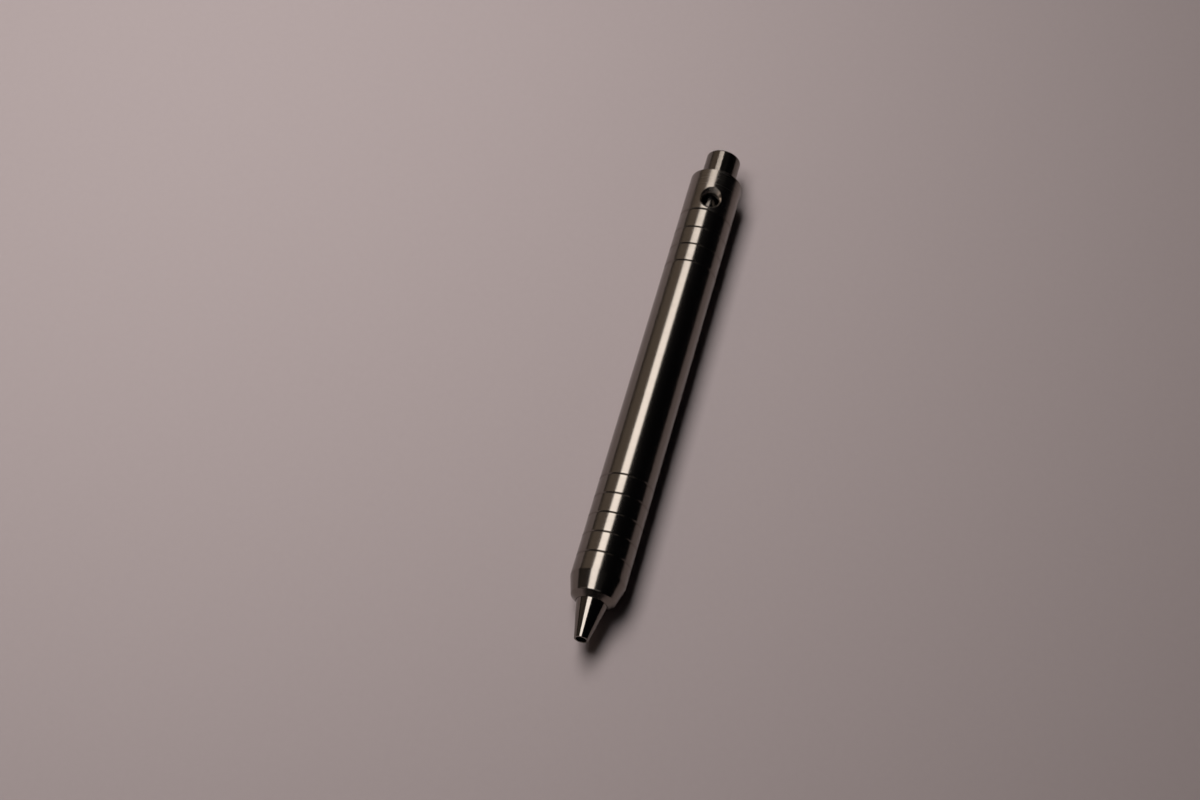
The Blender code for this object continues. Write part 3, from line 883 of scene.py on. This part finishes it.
plugSet = {
    "front": 93.5, "vent": 0.7, "notchWidth": 1.4, "notchDepth": 1.2, "notchAcross": 3,
    "edge": 0.08, "endRound": 0.2,
}
plugLook = {
    "darkTone": (0.014, 0.014, 0.015), "paleTone": (0.03, 0.03, 0.032),
    "grain": 0.15, "stretch": (1, 1, 1),
    "roughness": 0.45, "bump": 0.2, "bumpDepth": 0.008, "metallic": 0.0,
}


def makePlug(made, look):
    front, rear = spanOf("refill_plug")
    outer, spigot = refillSet["radius"], refillSet["spigot"]
    outline = [
        (rear, made["vent"], made["edge"]), (rear, outer, made["endRound"]),
        (made["front"], outer, made["edge"]), (made["front"], spigot),
        (front, spigot, made["endRound"]), (front, made["vent"]),
    ]
    piece = meshObject("refillPlug", turnedForm(outline, refillSet["steps"]))
    across, depth, width = made["notchAcross"] * outer, 2 * made["notchDepth"], made["notchWidth"]
    for size in ((depth, across, width), (depth, width, across)):
        cutAway(piece, blockForm(spot(rear), size))
    finishPiece(piece, "refill", "refill_plug", grainedFinish("plugPlastic", look))


makePlug(plugSet, plugLook)

# table, light and camera

floorSet = {
    "reach": 4.0, "sides": 96, "darkTone": (0.34, 0.283, 0.28), "paleTone": (0.356, 0.297, 0.294),
    "grain": 1.6, "roughness": 0.85, "specular": 0.2,
}


def makeFloor(made):
    finish, tree, shader = startFinish("paperFloor")
    coords = addNode(tree, "ShaderNodeTexCoord")
    fibre = addNoise(tree, made["grain"], grainSet["noise"])
    tree.links.new(coords.outputs["Object"], fibre.inputs["Vector"])
    tree.links.new(twoTones(tree, made, fibre.outputs["Fac"]), shader.inputs["Base Color"])
    shader.inputs["Roughness"].default_value = made["roughness"]
    shader.inputs["Specular IOR Level"].default_value = made["specular"]
    form = bmesh.new()
    height = axisHeight - barrelSet["radius"] * mm  # the barrel's lowest line
    bmesh.ops.create_circle(
        form, cap_ends=True, segments=made["sides"], radius=made["reach"],
        matrix=Matrix.Translation((0, 0, height)),
    )
    floor = meshObject("paperSheet", form)
    floor.data.materials.append(finish)


# lamps, in metres: gloss shows only the panels, and matt surfaces get only the paper light
panelColour = (1.0, 0.975, 0.945)
softPanelSet = {
    "middle": (0.125, 0.238, 0.6), "long": 0.85, "wide": 0.352, "colour": panelColour, "radiance": 4.15,
}
paperLightSet = {
    "middle": (0.09, 0.163, 0.4), "long": 0.42, "wide": 0.2, "colour": (1.0, 0.99, 0.985), "radiance": 9.0,
}
nosePanelSet = {  # this weak one and the next help the metal to read as metal from other sides too
    "middle": (-0.335, 0.0, 0.497), "long": 0.5, "wide": 0.126, "colour": panelColour, "radiance": 0.8,
}
rearPanelSet = {
    "middle": (0.6, 0.0, 0.22), "long": 0.44, "wide": 0.24, "colour": panelColour, "radiance": 0.4,
}


def addPanel(name, made):
    lamp = bpy.data.lights.new(name, "AREA")
    lamp.shape = "RECTANGLE"
    lamp.size, lamp.size_y = made["long"], made["wide"]
    lamp.energy = made["radiance"] * math.pi * made["long"] * made["wide"]
    lamp.color = made["colour"]
    panel = bpy.data.objects.new(name, lamp)
    panel.location = made["middle"]
    bpy.context.scene.collection.objects.link(panel)
    return panel


roomSet = {  # tones of the room, and where along each direction they come in
    "rightWall": (0.004, 0.004, 0.005), "leftWall": (0.3, 0.245, 0.195),
    "backWall": (0.6, 0.52, 0.47), "noseWall": (0.03, 0.027, 0.025),
    "left": (0.0, 0.35), "farLeft": (0.5, 0.72), "rear": (-0.1, 0.45), "nose": (-0.2, -0.7),
    "backFront": (-0.62, -0.45), "backRear": (-0.2, -0.34), "low": (-0.02, 0.3), "lowShare": 0.1,
}


def makeRoom(made):
    world = bpy.data.worlds.new("studioRoom")
    bpy.context.scene.world = world
    world.use_nodes = True
    tree = world.node_tree
    tree.nodes.clear()
    coords = addNode(tree, "ShaderNodeTexCoord")
    split = addNode(tree, "ShaderNodeSeparateXYZ")
    tree.links.new(coords.outputs["Generated"], split.inputs["Vector"])
    along, side, up = (split.outputs[axis] for axis in "XYZ")

    low = ramp(tree, up, made["low"], made["lowShare"])
    left = ramp(tree, side, made["left"])
    backSpan = times(tree, ramp(tree, along, made["backFront"]), ramp(tree, along, made["backRear"]))
    shares = [
        ("leftWall", times(tree, left, ramp(tree, along, made["rear"]), low)),
        ("noseWall", times(tree, left, ramp(tree, along, made["nose"]))),
        ("backWall", times(tree, ramp(tree, side, made["farLeft"]), backSpan, low)),
    ]
    glow = addNode(tree, "ShaderNodeBackground", {"Strength": 1.0})
    tone = None
    for wall, share in shares:
        layer = addNode(tree, "ShaderNodeMix", data_type="RGBA")
        layer.inputs["A"].default_value = (*made["rightWall"], 1)
        layer.inputs["B"].default_value = (*made[wall], 1)
        tree.links.new(share, layer.inputs["Factor"])
        if tone:
            tree.links.new(tone, layer.inputs["A"])
        tone = layer.outputs["Result"]
    tree.links.new(tone, glow.inputs["Color"])
    output = addNode(tree, "ShaderNodeOutputWorld")
    tree.links.new(glow.outputs["Background"], output.inputs["Surface"])


cameraSet = {  # place and aim in metres
    "place": (-0.27287, -0.0329, 0.4662), "aim": (-0.00767, 0.0116, 0.0063), "roll": 6.3,
    "lens": 69.39, "sensor": 36.0, "near": 0.01, "far": 20.0,
}


def makeCamera(made):
    lens = bpy.data.cameras.new("tableCamera")
    lens.lens = made["lens"]
    lens.sensor_width = made["sensor"]
    lens.clip_start, lens.clip_end = made["near"], made["far"]
    camera = bpy.data.objects.new("tableCamera", lens)
    bpy.context.scene.collection.objects.link(camera)
    camera.location = made["place"]
    camera.rotation_mode = "QUATERNION"
    aim = (Vector(made["aim"]) - Vector(made["place"])).to_track_quat("-Z", "Y")
    camera.rotation_quaternion = aim @ Quaternion((0, 0, 1), math.radians(made["roll"]))
    bpy.context.scene.camera = camera


makeFloor(floorSet)
addPanel("softPanel", softPanelSet).visible_diffuse = False
addPanel("paperLight", paperLightSet).visible_glossy = False
for name, made in (("nosePanel", nosePanelSet), ("rearPanel", rearPanelSet)):
    panel = addPanel(name, made)
    panel.rotation_euler = (-panel.location).to_track_quat("-Z", "Y").to_euler()
    panel.visible_diffuse = False
makeRoom(roomSet)
makeCamera(cameraSet)
bpy.context.scene.view_settings.view_transform = "Standard"
print("table, light and camera set")

bpy.context.view_layer.update()
